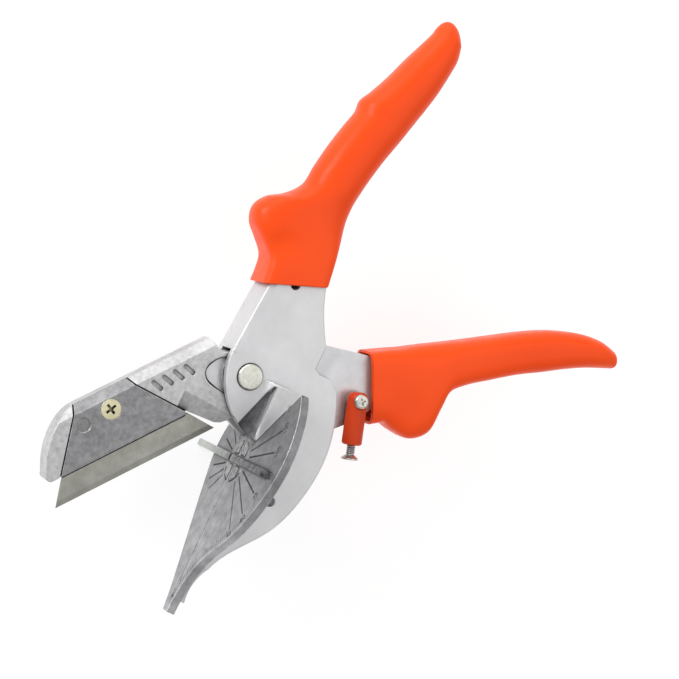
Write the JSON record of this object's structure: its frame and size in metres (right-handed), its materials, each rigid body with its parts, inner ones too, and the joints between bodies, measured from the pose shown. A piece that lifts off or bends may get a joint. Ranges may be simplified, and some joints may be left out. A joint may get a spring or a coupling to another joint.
{
  "type": "multi-angle mitre shears",
  "caption": "Hand shears with an orange two-handle grip that close a replaceable trapezoid blade onto a leaf-shaped mitre table with a cross fence and angle marks",
  "frame": {"origin": "point on the mitre table face where the fence crosses the cutting line", "axes": "+X along the cutting line toward the handles, +Y out of the table face, +Z along the pivot axis toward the blade cover side; the tool lies on its back"},
  "size_m": [0.2269, 0.1809, 0.0765],
  "materials": {
    "cast_body": "polished die casting",
    "table_grey": "fine blasted die casting",
    "insert_grey": "machined",
    "fence_grey": "machined strip",
    "grip_orange": "glossy moulded plastic",
    "bright_steel": "bright plated steel",
    "spring_steel": "drawn wire",
    "cast_jaw": "as-cast, lightly mottled",
    "bushing_brass": "turned",
    "blade_steel": "ground tool steel",
    "zinc_yellow": "yellow zinc plate",
    "latch_red": "dipped plastic"
  },
  "bodies": {
    "anvil_lever": {"anvil_lever_casting": "cast_body", "mitre_table": "table_grey", "anvil_insert": "insert_grey", "fence_bar": "fence_grey", "upper_grip": "grip_orange", "pivot_pin": "bright_steel", "pivot_collar": "bright_steel", "pivot_washers": "bright_steel", "return_spring": "spring_steel"},
    "blade_lever": {"blade_lever_casting": "cast_jaw", "lower_grip": "grip_orange", "pivot_bushing": "bushing_brass", "blade": "blade_steel", "blade_cover": "cast_jaw", "cover_screw": "zinc_yellow", "cover_screw_insert": "bushing_brass", "blade_locators": "bright_steel", "latch_pivot_screw": "bright_steel", "latch_washer": "bright_steel"},
    "latch": {"latch_sleeve": "latch_red", "latch_hook_screw": "bright_steel"}
  },
  "joints": [
    {"name": "handle_pivot", "type": "hinge", "parent": "anvil_lever", "child": "blade_lever", "pos_m": [0.0273, 0.012, 0], "axis": [0, 0, 1], "range_deg": [0, 38.8], "stiffness_Nm_per_rad": 0.3, "springref_deg": -34.38},
    {"name": "latch_swing", "type": "hinge", "parent": "blade_lever", "child": "latch", "pos_m": [0.03654, -0.02725, 0.00835], "axis": [0, 0, 1], "range_deg": [-14, 14]}
  ]
}
